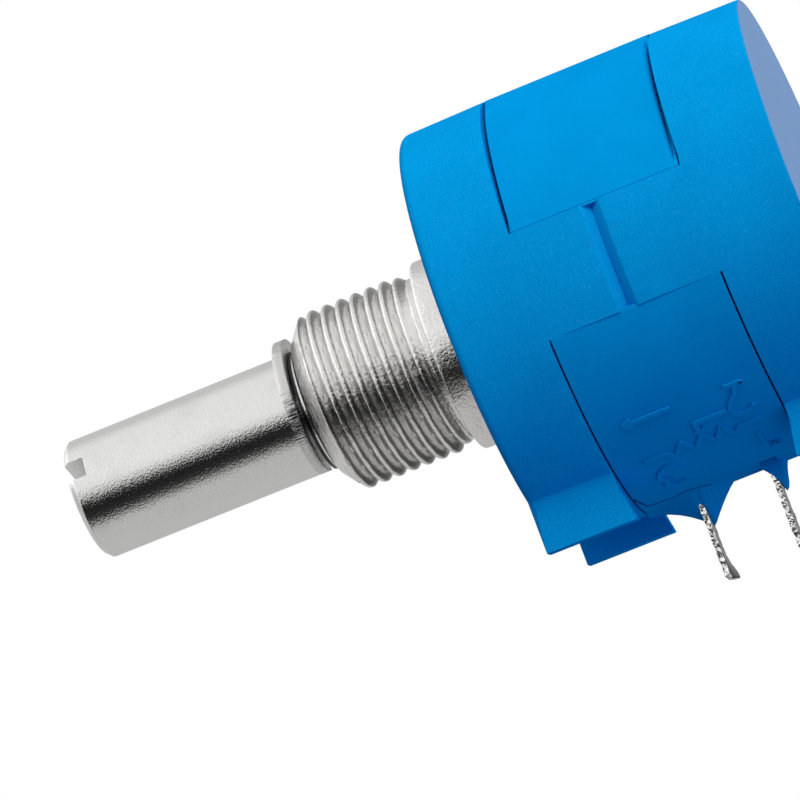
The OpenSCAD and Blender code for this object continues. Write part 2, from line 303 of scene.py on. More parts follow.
@dataclass(frozen=True)
class MouldedPlastic(Finish):
    """Glass-filled moulding with a spark-eroded skin, flow clouds and fine pale specks, partly specks in the
    moulding and partly painted glints.
    """

    colour: Colour
    deep: Colour
    speck_and_glint: Colour
    cloud_scale: ClassVar[float] = 260.0
    skin_scale: ClassVar[float] = 7500.0
    pore_scale: ClassVar[float] = 17000.0
    roughness: float = 0.46
    speck_and_glint_share: float = 0.33
    skin_mm: float = 0.012
    gloss: float = 0.5
    glazed_from_mm: Optional[float] = None

    def paint(self, graph: Graph, shader: bpy.types.Node, place: Signal) -> None:
        """Clouds and specks in the colour, the specks partly painted glints, and an eroded skin in the
        normal.
        """
        cloud = graph.noise(place, self.cloud_scale, 3.0, 0.55)
        skin = graph.noise(place, self.skin_scale, 2.0, 0.6)
        pores = graph.noise(place, self.pore_scale, 1.0, 0.5)
        tone = graph.blend(cloud.smooth(0.3, 0.7), self.deep, self.colour)
        # Pale specks: partly specks in the moulding, partly painted glints of the skin's sheen.
        tone = graph.blend(pores.smooth(0.56, 0.74) * self.speck_and_glint_share, tone, self.speck_and_glint)
        graph.fill(shader, {
            "Base Color": tone, "Roughness": self.roughness + 0.16 * (skin - 0.5),
            "Normal": self.relief(graph, skin + 0.6 * pores, 0.55, self.skin_mm),
            "Specular IOR Level": self.gloss,
        })
        if self.glazed_from_mm is not None:
            along = graph.parts(place)[1] / MM
            glazed = along.smooth(self.glazed_from_mm, self.glazed_from_mm + 0.04)
            graph.fill(shader, {"Coat Weight": glazed, "Coat Roughness": 0.3})


@dataclass(frozen=True)
class Metal(Finish):
    """Bare or plated metal with the marks of its last operation."""

    colour: Colour
    roughness: float
    grain: Grain
    grain_mm: float
    depth_mm: float
    tarnish: Colour = (0.35, 0.34, 0.33)
    tarnish_share: float = 0.15
    pit_mm: float = 0.0
    pit: Colour = (0.025, 0.025, 0.027)
    fresh: Colour = (0.95, 0.95, 0.94)

    def marks(self, graph: Graph, place: Signal) -> Signal:
        """The height pattern that the last operation left.

        Args:
            graph: The material's node tree.
            place: Object coordinates in metres.

        Returns:
            A height signal from about 0 to 1.
        """
        fine = 1.0 / (self.grain_mm * MM)
        if self.grain is Grain.TURNED:
            rings = graph.noise(graph.scaled(place, (0.04, 1.6, 0.04)), fine, 2.0, 0.6)
            peel = graph.noise(place, fine * 0.8, 2.0, 0.6)
            return 0.1 * rings + peel
        if self.grain is Grain.SHEARED:
            streaks = graph.noise(graph.scaled(place, (1.0, 0.1, 1.0)), fine, 2.0, 0.6)
            torn = graph.noise(place, fine * 0.5, 3.0, 0.7)
            return streaks + 0.6 * torn
        if self.grain is Grain.ROLLED:
            lines = graph.noise(graph.scaled(place, (1.0, 1.0, 0.06)), fine, 2.0, 0.6)
            return lines + 0.3 * graph.noise(place, fine * 0.4)
        dents = graph.noise(place, fine, 3.0, 0.65)
        broad = graph.noise(place, fine * 0.22, 2.0, 0.5)
        return dents + 1.2 * broad

    def paint(self, graph: Graph, shader: bpy.types.Node, place: Signal) -> None:
        """Tarnish in the low places, and the marks in roughness and normal."""
        marks = self.marks(graph, place)
        film = graph.noise(place, 420.0, 4.0, 0.6)
        share = film.smooth(0.5, 0.75) * self.tarnish_share
        tone = graph.blend(share, self.colour, self.tarnish)
        if self.pit_mm:
            normal = graph.out("ShaderNodeNewGeometry", "True Normal")
            across = graph.parts(normal)[0].size().smooth(0.35, 0.6)
            pits = graph.noise(graph.scaled(place, (0.3, 1.0, 1.0)), 1.0 / (self.pit_mm * MM), 3.0, 0.7)
            tone = graph.blend(across, tone, self.fresh)
            tone = graph.blend(pits.smooth(0.56, 0.62) * across, tone, self.pit)
        graph.fill(shader, {
            "Base Color": tone, "Roughness": self.roughness + 0.1 * (film - 0.5), "Metallic": 1.0,
            "Normal": self.relief(graph, marks, 0.8, self.depth_mm),
        })


@dataclass(frozen=True)
class WoundWire(Finish):
    """Close turns of resistance wire round an enamelled mandrel."""

    wire: Colour = (0.42, 0.38, 0.33)
    gap: Colour = (0.05, 0.04, 0.035)
    pitch_mm: float = 0.06

    def paint(self, graph: Graph, shader: bpy.types.Node, place: Signal) -> None:
        """One ridge for each turn of wire, counted round the shaft axis."""
        x, _, z = graph.parts(place)
        angle = x.math("ARCTAN2", z, x)
        ridge = (angle * (7.9 / self.pitch_mm)).sine() * 0.5 + 0.5
        graph.fill(shader, {
            "Base Color": graph.blend(ridge, self.gap, self.wire), "Metallic": ridge * 0.8,
            "Roughness": 0.5 - 0.15 * ridge, "Normal": self.relief(graph, ridge, 0.6, 0.02),
        })


@dataclass(frozen=True)
class Rubber(Finish):
    """Black seal rubber with a moulded bloom."""

    colour: Colour = (0.015, 0.015, 0.016)

    def paint(self, graph: Graph, shader: bpy.types.Node, place: Signal) -> None:
        """A dull skin with pale bloom in patches."""
        bloom = graph.noise(place, 2500.0, 3.0, 0.6)
        tone = graph.blend(bloom.smooth(0.5, 0.8) * 0.3, self.colour, (0.08, 0.08, 0.085))
        normal = self.relief(graph, bloom, 0.3, 0.02)
        graph.fill(shader, {"Base Color": tone, "Roughness": 0.55 + 0.2 * bloom, "Normal": normal})


SHELL_BLUE = MouldedPlastic(
    "housing_blue", (0.0, 0.262, 0.72), (0.0, 0.242, 0.675), (0.04, 0.43, 0.88),
    gloss=0.0, glazed_from_mm=20.37,
)
CARRIER_BLUE = MouldedPlastic(
    "carrier_blue", (0.0, 0.25, 0.70), (0.0, 0.235, 0.66), (0.02, 0.33, 0.8),
    speck_and_glint_share=0.2, roughness=0.5, gloss=0.0,
)
# Painted shadow: a dark blue for the hairline that stands in for the shade below the raised plate's lower
# edge.
SEAM_SHADOW_PAINT = MouldedPlastic("painted_seam_shadow", (0.0, 0.07, 0.26), (0.0, 0.05, 0.2), (0.0, 0.09, 0.3), gloss=0.0)
ROTOR_CREAM = MouldedPlastic("rotor_cream", (0.62, 0.58, 0.46), (0.55, 0.51, 0.4), (0.75, 0.72, 0.62))
CARRIAGE_IVORY = MouldedPlastic(
    "carriage_ivory", (0.7, 0.67, 0.58), (0.63, 0.6, 0.5), (0.8, 0.78, 0.7), roughness=0.35
)
WASHER_WHITE = MouldedPlastic(
    "washer_white", (0.78, 0.78, 0.76), (0.72, 0.72, 0.7), (0.86, 0.86, 0.85), roughness=0.3
)
BUSHING_NICKEL = Metal("bushing_nickel", (0.80, 0.79, 0.78), 0.13, Grain.TUMBLED, 0.17, 0.042)
SHAFT_NICKEL = Metal("shaft_nickel", (0.80, 0.797, 0.79), 0.1, Grain.TURNED, 0.08, 0.022)
CLIP_STEEL = Metal("clip_steel", (0.66, 0.655, 0.65), 0.22, Grain.SHEARED, 0.14, 0.06)
# The shim is coloured near-black, far darker than bare steel.
SHIM_STEEL = Metal(
    "shim_steel", (0.05, 0.05, 0.052), 0.3, Grain.ROLLED, 0.08, 0.01, tarnish=(0.02, 0.02, 0.02)
)
TINNED_BLADE = Metal("tinned_blade", (0.24, 0.24, 0.24), 0.26, Grain.ROLLED, 0.09, 0.012, pit_mm=0.2)
SPRING_BRASS = Metal("spring_brass", (0.78, 0.57, 0.27), 0.25, Grain.ROLLED, 0.08, 0.008)
ELEMENT_WIRE = WoundWire("element_wire")
SEAL_RUBBER = Rubber("seal_rubber")


# ---- mesh helpers


def put(name: str, data: bpy.types.ID) -> Piece:
    """A new object at the origin of the scene."""
    obj = bpy.data.objects.new(name, data)
    bpy.context.scene.collection.objects.link(obj)
    return obj


@dataclass(frozen=True)
class Workshop:
    """Ways of making and finishing a mesh object."""

    crease_deg: float = 40.0
    weld_m: float = 2e-6
    merge_m: float = 1e-7
    sliver_m: float = 8e-6
    flat_deg: float = 0.4
    steps: int = 2

    def place(self, name: str, mesh: bpy.types.Mesh, finish: Finish) -> Piece:
        """Puts a mesh in the scene as a piece.

        Args:
            name: The piece's name.
            mesh: Its mesh in metres, in place.
            finish: What it is finished in.

        Returns:
            The new object at the origin.
        """
        mesh.materials.clear()
        mesh.materials.append(finish.material())
        return put(name, mesh)

    def from_points(self, name: str, points: Sequence[Place], faces: Faces, finish: Finish) -> Piece:
        """A piece from points in millimetres and faces, with every face turned outwards."""
        mesh = bpy.data.meshes.new(name)
        mesh.from_pydata([tuple(p) for p in np.asarray(points, float) * MM], [], faces)
        mesh.validate()
        mesh.update()
        return self.facing_out(self.place(name, mesh, finish))

    def facing_out(self, obj: Piece) -> Piece:
        """Merges doubles and turns every face outwards."""
        draft = bmesh.new()
        draft.from_mesh(obj.data)
        bmesh.ops.remove_doubles(draft, verts=draft.verts, dist=self.merge_m)
        bmesh.ops.recalc_face_normals(draft, faces=draft.faces)
        draft.to_mesh(obj.data)
        draft.free()
        return obj

    def baked(self, obj: Piece) -> Piece:
        """Applies an object's modifiers and removes them."""
        bpy.context.view_layer.update()
        graph = bpy.context.evaluated_depsgraph_get()
        result = bpy.data.meshes.new_from_object(obj.evaluated_get(graph))
        obj.modifiers.clear()
        result.name = obj.data.name
        obj.data = result
        return obj

    def creased(self, obj: Piece, crease_deg: float) -> Piece:
        """Smooth shading that stays crisp where faces meet more sharply than an angle."""
        obj.data.shade_smooth()
        obj.data.set_sharp_from_angle(angle=math.radians(crease_deg))
        return obj

    def shaded(self, obj: Piece, rounded: Where = None) -> Piece:
        """Crisp creases, apart from the places that are rounded, and face-weighted normals."""
        self.creased(obj, self.crease_deg)
        if rounded:
            points = obj.data.vertices
            for edge in obj.data.edges:
                a, b = (points[i].co for i in edge.vertices)
                if edge.use_edge_sharp and rounded((a + b) / (2.0 * MM)):
                    edge.use_edge_sharp = False
        weigh = obj.modifiers.new("weigh", "WEIGHTED_NORMAL")
        weigh.keep_sharp = True
        return self.baked(obj)

    def carved(self, draft: bmesh.types.BMesh, cutter: Piece) -> None:
        """Takes a closed shape away from a draft mesh and clears the slivers it leaves."""
        mesh = bpy.data.meshes.new("blank")
        draft.to_mesh(mesh)
        block = self.place("blank", mesh, SHELL_BLUE)
        cut = block.modifiers.new("cut", "BOOLEAN")
        cut.object = cutter
        cut.solver = "EXACT"
        self.baked(block)
        draft.clear()
        draft.from_mesh(block.data)
        bmesh.ops.remove_doubles(draft, verts=draft.verts, dist=self.sliver_m)
        bmesh.ops.dissolve_degenerate(draft, edges=draft.edges, dist=self.sliver_m)
        bpy.data.objects.remove(block)

    def softened(
        self, node: str, finish: Finish, edge_mm: float,
        rounded: Where = None, crisp: Where = None, cutter: Optional[Piece] = None,
    ) -> Piece:
        """A copy of a CAD node whose edges are broken as tooling leaves them.

        Args:
            node: The CAD node.
            finish: The copy's finish.
            edge_mm: Width of the broken edge.
            rounded: Tells the places, in millimetres, whose edges are round already.
            crisp: Tells the places, in millimetres, whose edges stay as they are.
            cutter: A closed shape to take away from the copy.

        Returns:
            The copy, which is shown instead of the node.
        """
        draft = bmesh.new()
        draft.from_mesh(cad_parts[node].data)
        bmesh.ops.remove_doubles(draft, verts=draft.verts, dist=self.weld_m)
        if cutter:
            self.carved(draft, cutter)
        bmesh.ops.dissolve_limit(
            draft, angle_limit=math.radians(self.flat_deg), verts=draft.verts, edges=draft.edges,
            use_dissolve_boundaries=False,
        )
        many = [face for face in draft.faces if len(face.verts) > 4]
        bmesh.ops.triangulate(draft, faces=many, ngon_method="BEAUTY")
        broken = draft.edges.layers.float.new("bevel_weight_edge")
        for edge in draft.edges:
            middle = (edge.verts[0].co + edge.verts[1].co) / (2.0 * MM)
            sharp = len(edge.link_faces) == 2 and edge.calc_face_angle(0.0) > math.radians(self.crease_deg)
            kept = (rounded and rounded(middle)) or (crisp and crisp(middle))
            edge[broken] = 1.0 if sharp and not kept else 0.0
        mesh = bpy.data.meshes.new(node + "_dressed")
        draft.to_mesh(mesh)
        draft.free()
        for layer in ("custom_normal", "sharp_edge", "sharp_face"):
            if layer in mesh.attributes:
                mesh.attributes.remove(mesh.attributes[layer])
        obj = self.place(node + "_dressed", mesh, finish)
        bevel = obj.modifiers.new("broken_edge", "BEVEL")
        bevel.width = edge_mm * MM
        bevel.segments = self.steps
        bevel.limit_method = "WEIGHT"
        bevel.use_clamp_overlap = False
        bevel.miter_outer = "MITER_ARC"
        self.baked(obj)
        self.shaded(obj, rounded)
        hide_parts(node)
        return obj

    def dress(self, node: str, finish: Finish) -> None:
        """Gives a CAD node that is shown as it is its finish."""
        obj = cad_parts[node]
        obj.data.materials.clear()
        obj.data.materials.append(finish.material())


SHOP = Workshop()


class Recipe:
    """A geometry node tree with named sizes that is run once on one mesh."""

    def __init__(self, name: str, sizes: Dict[str, float]) -> None:
        """Starts a tree.

        Args:
            name: The tree's name.
            sizes: Named inputs and their values.
        """
        tree = bpy.data.node_groups.new(name, "GeometryNodeTree")
        self.graph = Graph(tree)
        for way in ("INPUT", "OUTPUT"):
            tree.interface.new_socket("Geometry", in_out=way, socket_type="NodeSocketGeometry")
        self.sizes = sizes
        self.sockets: Dict[str, str] = {}
        for size in sizes:
            socket = tree.interface.new_socket(size, in_out="INPUT", socket_type="NodeSocketFloat")
            self.sockets[size] = socket.identifier
        self.entry = self.graph.node("NodeGroupInput")

    def __getitem__(self, name: str) -> Signal:
        """One input: the mesh as "Geometry", or a named size."""
        return Signal(self.graph, self.entry.outputs[name])

    def swept(self, curve: Signal, shape: Signal) -> Signal:
        """A closed tube with a shape along a curve."""
        values = {"Curve": curve, "Profile Curve": shape, "Fill Caps": True}
        return self.graph.out("GeometryNodeCurveToMesh", values=values)

    def close(self, geometry: Signal, finish: Finish) -> None:
        """Ends the tree in Realize Instances and Set Material."""
        real = self.graph.out("GeometryNodeRealizeInstances", values={"Geometry": geometry})
        values = {"Geometry": real, "Material": finish.material()}
        dressed = self.graph.out("GeometryNodeSetMaterial", values=values)
        self.graph.node("NodeGroupOutput", values={"Geometry": dressed})

    def run(self, obj: Piece, shares: Optional[Dict[str, Sequence[float]]] = None) -> Piece:
        """Runs the tree on an object.

        Args:
            obj: The object, which keeps the plain result with its faces outwards.
            shares: Numbers by name that each point carries meanwhile.

        Returns:
            The same object.
        """
        for name, values in (shares or {}).items():
            layer = obj.data.attributes.new(name, "FLOAT", "POINT")
            layer.data.foreach_set("value", np.array(values, np.float32))
        modifier = obj.modifiers.new(self.graph.tree.name, "NODES")
        modifier.node_group = self.graph.tree
        for size, identifier in self.sockets.items():
            modifier[identifier] = float(self.sizes[size])
        SHOP.baked(obj)
        for name in shares or {}:
            obj.data.attributes.remove(obj.data.attributes[name])
        return SHOP.facing_out(obj)


def lathe(outline: Sequence[Point], segments: int) -> Tuple[np.ndarray, Faces]:
    """Turns a closed outline about the shaft axis.

    Args:
        outline: Points as radius and y in millimetres, in order round the section.
        segments: Steps round the axis.

    Returns:
        Points and faces.
    """
    turn = np.linspace(0.0, 2.0 * math.pi, segments, endpoint=False)
    ring = np.array([[r * math.cos(a), y, r * math.sin(a)] for a in turn for r, y in outline])
    n = len(outline)
    faces: Faces = []
    for i in range(segments):
        j = (i + 1) % segments
        faces += [(i * n + k, i * n + (k + 1) % n, j * n + (k + 1) % n, j * n + k) for k in range(n)]
    return ring, faces


def skin(rings: int, size: int, start: int = 0) -> Faces:
    """Faces that close a skin through rings of points.

    Args:
        rings: How many rings there are.
        size: Points in each ring.
        start: Number of the first ring's first point.

    Returns:
        The two end faces and the faces between the rings.
    """
    last = start + (rings - 1) * size
    faces: Faces = [tuple(range(start, start + size)), tuple(range(last + size - 1, last - 1, -1))]
    for a in range(start, last, size):
        faces += [(a + k, a + size + k, a + size + (k + 1) % size, a + (k + 1) % size) for k in range(size)]
    return faces


def span(node: str, axis: int) -> Point:
    """The least and greatest place of a CAD node along an axis, in millimetres."""
    along = [vertex.co[axis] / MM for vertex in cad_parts[node].data.vertices]
    return min(along), max(along)


def polar(radius: float, y: float, turn_deg: float) -> Place:
    """The point at a radius and y, turned about the shaft axis from +X towards +Z."""
    turn = math.radians(float(turn_deg))
    return radius * math.cos(turn), y, radius * math.sin(turn)


# ---- the object


@dataclass
class Housing:
    """The two shells and the moulded carrier that shows in their windows."""

    edge: float = 0.035
    front_y: float = 2.02
    rear_y: float = 20.42
    rim_radius: float = 10.3
    window_y0: float = 6.57
    window_y1: float = 15.67
    window_deg: float = 14.4
    part_y: float = 10.815
    pad_radius: float = 11.24
    flat_r: float = 9.7
    toe: float = 0.3
    toe_top: float = 10.2
    toe_sink: float = 0.02
    rail_in: float = 5.19
    rail_out: float = 6.22
    rail_z: float = 11.95
    cover_gap: float = 0.17
    cover_round: float = 0.3
    cover_sink: float = 0.24
    cover_skirt: float = 0.7
    cover_drop: float = 0.006
    cover_inset_deg: float = 0.25
    cover_turns: int = 121
    groove_floor: float = 10.86
    groove_top: float = 11.8
    groove_half: float = 1.06
    flash_depth: float = 0.6
    flash_half_deg: float = 0.45
    line_width: float = 0.24
    line_height: float = 0.12
    # Width and height of the painted shadow hairline under the raised plate's edge.
    shadow_line_width: float = 0.08
    shadow_line_height: float = 0.012

    strokes: ClassVar[Dict[str, List[Point]]] = {
        "resistor": [
            (8.22, -57.3), (9.32, -57.2), (9.77, -59.5), (10.27, -55.2), (10.84, -59.5), (11.39, -55.0),
            (11.94, -59.3), (12.38, -55.0), (12.94, -59.6), (13.27, -57.3), (14.42, -57.4),
        ],
        "wiper": [(13.07, -50.7), (11.28, -50.7), (11.42, -54.2)],
        "head_left": [(11.42, -54.4), (11.2, -53.2)],
        "head_right": [(11.42, -54.4), (11.68, -53.2)],
        "turn": [(10.62, -43.2), (8.12, -43.2)],
        "turn_up": [(8.12, -43.2), (8.57, -42.0)],
        "turn_down": [(8.12, -43.2), (8.57, -44.4)],
        "two": [
            (13.42, -43.4), (14.32, -43.4), (13.97, -43.5), (13.78, -46.2), (13.42, -48.4), (13.21, -50.6),
            (13.37, -52.9), (13.82, -53.7), (14.25, -52.9), (14.42, -51.8),
        ],
        "three": [
            (9.62, -64.3), (9.37, -62.7), (8.99, -62.3), (8.58, -63.9), (8.4, -66.0), (8.65, -67.8),
            (8.97, -68.1), (8.65, -68.9), (8.55, -70.6), (8.94, -72.4), (9.57, -71.7),
        ],
        "one": [(13.88, -62.9), (13.96, -70.3), (14.57, -70.5), (13.96, -70.3)],
    }
    # Where the painted shadow line runs, under the lower edge of the raised plate: y in millimetres and angle
    # in degrees.
    seam: ClassVar[Dict[str, List[Point]]] = {
        "edge": [
            (6.71, -71.9), (6.81, -74.6), (7.06, -80.3), (7.46, -80.8), (8.26, -81.5), (9.14, -80.3),
            (9.79, -81.1), (10.27, -82.7), (10.85, -89.5),
        ],
    }

    def build(self) -> List[Piece]:
        """Makes the shells, the carrier and the moulded legend."""
        groove = self.groove()
        front, rear = (
            SHOP.softened(node, SHELL_BLUE, self.edge, rounded=self.on_rim, crisp=self.on_seam, cutter=groove)
            for node in ("front_shell", "rear_shell")
        )
        bpy.data.objects.remove(groove)
        carrier = SHOP.softened("element_carrier", CARRIER_BLUE, self.edge * 0.6, crisp=self.on_seam)
        made = [
            front, rear, carrier,
            self.raised("legend", self.strokes, self.line_width, self.line_height, CARRIER_BLUE),
            # The dark hairline is painted shadow under the raised plate's edge, not a moulded line.
            self.raised("plate_edge_painted_shadow", self.seam, self.shadow_line_width, self.shadow_line_height, SEAM_SHADOW_PAINT),
            self.toes(), self.flash(), self.cover(),
        ]
        for piece in made:
            piece.visible_glossy = False
        return made

    def on_rim(self, place: Vector) -> bool:
        """Whether a place is on one of the two rounded rims."""
        near_end = place.y > self.rear_y - 0.2 or place.y < self.front_y + 0.8
        return near_end and math.hypot(place.x, place.z) > self.rim_radius

    def on_seam(self, place: Vector) -> bool:
        """Whether a place is on a long seam between a pad and a side land."""
        between = self.window_y0 + 0.2 < place.y < self.window_y1 - 0.2
        outside = math.hypot(place.x, place.z) > self.rim_radius
        return between and outside and abs(place.y - self.part_y) > 0.6

    def groove(self) -> Piece:
        """The ring that opens the V groove between the shells."""
        outline = [
            (self.groove_floor, self.part_y), (self.groove_top, self.part_y + self.groove_half),
            (self.groove_top, self.part_y - self.groove_half),
        ]
        return SHOP.from_points("groove_ring", *lathe(outline, 96), SHELL_BLUE)

    def cover(self) -> Piece:
        """The bowed skin of the upper pad, with its rear edge rounded."""
        y0, y1, r = self.window_y0 + self.cover_gap, self.window_y1 - self.cover_gap * 1.4, self.cover_round
        section: List[Point] = [(y0, -self.cover_skirt), (y0, -0.03), (y0 + 0.03, 0.0)]
        section += [
            (y1 - r + r * math.sin(a), r * math.cos(a) - r) for a in np.linspace(0.0, math.pi / 2.0, 8)
        ]
        section += [(y1, -self.cover_skirt)]
        points: List[Place] = []
        first, last = self.window_deg + self.cover_inset_deg, 180.0 - self.cover_inset_deg - self.window_deg
        for turn in np.linspace(first, last, self.cover_turns):
            side = abs(abs(turn - 90.0) - 45.0)
            flat = min(self.pad_radius, self.flat_r / math.cos(math.radians(min(side, 40.0))))
            top = self.pad_radius - self.cover_drop - self.cover_sink * (self.pad_radius - flat)
            points += [polar(top + drop, y, turn) for y, drop in section]
        faces = skin(self.cover_turns, len(section))
        return SHOP.shaded(SHOP.from_points("pad_cover", points, faces, CARRIER_BLUE))

    def flash(self) -> Piece:
        """The thin moulding flash that closes the four long seams, just below their lips."""
        points: List[Place] = []
        faces: Faces = []
        y0, y1 = self.window_y0 + 0.1, self.window_y1 - 0.1
        for middle in (self.window_deg, 180.0 - self.window_deg, -self.window_deg, self.window_deg - 180.0):
            across = math.radians(45.0 - self.window_deg)
            top = min(self.pad_radius, self.flat_r / math.cos(across)) if middle > 0.0 else self.pad_radius
            top -= 0.02
            low = top - self.flash_depth
            faces += skin(2, 4, len(points))
            for turn in (middle - self.flash_half_deg, middle + self.flash_half_deg):
                points += [polar(r, y, turn) for r, y in ((low, y0), (top, y0), (top, y1), (low, y1))]
        obj = SHOP.from_points("seam_flash", points, faces, SHELL_BLUE)
        obj.data.shade_flat()
        return obj

    def toes(self) -> Piece:
        """The short wedges that the rail feet reach out past the window edges."""
        points: List[Place] = []
        faces: Faces = []
        for y, way in ((self.window_y0, 1.0), (self.window_y1, -1.0)):
            outline = [
                (y - way * self.toe_sink, -self.toe_top), (y, -self.toe_top),
                (y + way * self.toe, -self.rail_z + 0.04), (y + way * (self.toe - 0.04), -self.rail_z),
                (y - way * self.toe_sink, -self.rail_z),
            ]
            for side in (-1.0, 1.0):
                faces += skin(2, len(outline), len(points))
                for x in (self.rail_in, self.rail_out):
                    points += [(side * x, py, pz) for py, pz in outline]
        return SHOP.shaded(SHOP.from_points("rail_toes", points, faces, SHELL_BLUE))

    def raised(
        self, name: str, strokes: Dict[str, List[Point]], width: float, height: float, finish: Finish
    ) -> Piece:
        """Fine lines wrapped on the curve of the lower pad.

        Args:
            name: The piece's name.
            strokes: Lines as points of y in millimetres and angle in degrees.
            width: Width of a line in millimetres.
            height: How far it stands out in millimetres.
            finish: What the lines are finished in.

        Returns:
            All the lines as one piece.
        """
        points: List[Place] = []
        edges: List[Tuple[int, int]] = []
        for stroke in strokes.values():
            start = len(points)
            points += [(y, math.radians(a) * self.pad_radius, 0.0) for y, a in stroke]
            edges += [(i, i + 1) for i in range(start, len(points) - 1)]
        mesh = bpy.data.meshes.new(name)
        mesh.from_pydata([tuple(c * MM for c in p) for p in points], edges, [])
        obj = SHOP.place(name, mesh, finish)
        recipe = Recipe(
            "raised_line_" + name,
            {"Line Width": width * MM, "Line Height": height * MM, "Pad Radius": self.pad_radius * MM},
        )
        g = recipe.graph
        curve = g.out("GeometryNodeMeshToCurve", values={"Mesh": recipe["Geometry"]})
        values = {"Curve": curve, "Length": 0.1 * MM}
        curve = g.out("GeometryNodeResampleCurve", 0, {"mode": "LENGTH"}, values)
        shape = g.out(
            "GeometryNodeCurvePrimitiveQuadrilateral", settings={"mode": "RECTANGLE"},
            values={"Width": recipe["Line Width"], "Height": recipe["Line Height"] * 2.0},
        )
        tube = recipe.swept(curve, shape)
        x, y, z = g.parts(g.out("GeometryNodeInputPosition"))
        angle = y / recipe["Pad Radius"]
        radius = recipe["Pad Radius"] + z
        recipe.close(g.moved(tube, radius * angle.cosine(), x, radius * angle.sine()), finish)
        return SHOP.shaded(recipe.run(obj))


@dataclass
class Bushing:
    """The threaded bushing: rolled 3/8-32 thread, run-out, relief and collar."""

    nose_y: float = -7.24
    nose_r: float = 3.52
    cone_run: float = 0.78
    thread_r: float = 4.7625
    relief_r: float = 4.38
    collar_r: float = 5.075
    collar_len: float = 2.02
    stem_r: float = 4.4
    wall_y: float = 3.52
    bore_r: float = 3.225
    pitch: float = 0.79375
    depth: float = 0.43
    roundness: float = 1.9
    root: float = 0.06
    fade_from: float = -1.2
    fade_to: float = -0.4
    start_turn: float = 0.478
    crease_deg: float = 50.0
    fold_share: float = 0.09
    fold_depth: float = 0.03
    dent_scale: float = 2300.0
    segments: int = 180
    step: float = 0.045

    def outline(self) -> Tuple[List[Point], List[float]]:
        """The section before the thread is rolled.

        Returns:
            Points as radius and y, and for each the share of the thread that it takes.
        """
        bore, nose, stem, c = self.bore_r, self.nose_r, self.stem_r, self.collar_r
        front, wall = self.nose_y, self.wall_y
        points: List[Point] = [
            (bore, front + 0.15), (bore + 0.05, front + 0.04), (bore + 0.15, front),
            (nose - 0.15, front), (nose - 0.04, front + 0.03), (nose, front + 0.08),
        ]
        share = [0.0] * len(points)
        y = front + 0.12
        while y < -0.08:
            points.append((min(self.thread_r, nose + (y - front) / self.cone_run), y))
            share.append(1.0)
            y += self.step
        tail: List[Point] = [
            (self.relief_r, -0.035), (self.relief_r + 0.02, -0.008), (self.relief_r + 0.06, 0.0),
            (c - 0.14, 0.0), (c - 0.06, 0.03), (c - 0.015, 0.09), (c, 0.2), (c, 0.6), (c, 1.0), (c, 1.4),
            (c, self.collar_len - 0.05), (c - 0.05, self.collar_len), (stem, self.collar_len),
            (stem, wall), (stem + 0.45, wall), (stem + 0.5, wall + 0.08), (stem + 0.48, wall + 0.2),
            (stem + 0.2, wall + 0.4), (bore + 0.1, wall + 0.4), (bore, wall + 0.3), (bore, 1.0), (bore, -3.0),
        ]
        return points + tail, share + [0.0] * len(tail)

    def build(self) -> Piece:
        """Turns the blank and rolls the thread on it."""
        outline, share = self.outline()
        obj = SHOP.from_points("threaded_bushing", *lathe(outline, self.segments), BUSHING_NICKEL)
        recipe = Recipe(
            "rolled_thread",
            {
                "Pitch": self.pitch * MM, "Depth": self.depth * MM, "Major Radius": self.thread_r * MM,
                "Roundness": self.roundness, "Root Width": self.root, "Relief Radius": self.relief_r * MM,
                "Fade Start": self.fade_from * MM, "Fade End": self.fade_to * MM,
                "Start Turn": self.start_turn,
            },
        )
        g = recipe.graph
        position = g.out("GeometryNodeInputPosition")
        x, y, z = g.parts(position)
        radius = (x * x + z * z) ** 0.5
        turn = x.math("ARCTAN2", z, x) / (2.0 * math.pi)
        turns = y / recipe["Pitch"] + turn + recipe["Start Turn"]
        away = (turns.math("FRACT", turns) - 0.5).size() * 2.0
        drop = (away / (1.0 - recipe["Root Width"])).least(1.0) ** recipe["Roundness"]
        fold = 1.0 - (away / self.fold_share).least(1.0)
        fade = (y - recipe["Fade Start"]) / (recipe["Fade End"] - recipe["Fade Start"])
        fade = fade.least(1.0).most(0.0)
        full = recipe["Major Radius"] - recipe["Depth"] * drop - fold * fold * (self.fold_depth * MM)
        full = full * (1.0 - fade) + fade * recipe["Relief Radius"].least(full)
        dents = g.noise(position, self.dent_scale, 2.0, 0.5) - 0.5
        rolled = radius.least(full) - self.fold_depth * MM * (dents.size() * dents.size() * 4.0)
        ratio = 1.0 + g.share("thread_share") * (rolled / radius - 1.0)
        recipe.close(g.moved(recipe["Geometry"], x * ratio, y, z * ratio), BUSHING_NICKEL)
        SHOP.creased(recipe.run(obj, {"thread_share": share * self.segments}), self.crease_deg)
        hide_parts("bushing")
        return obj


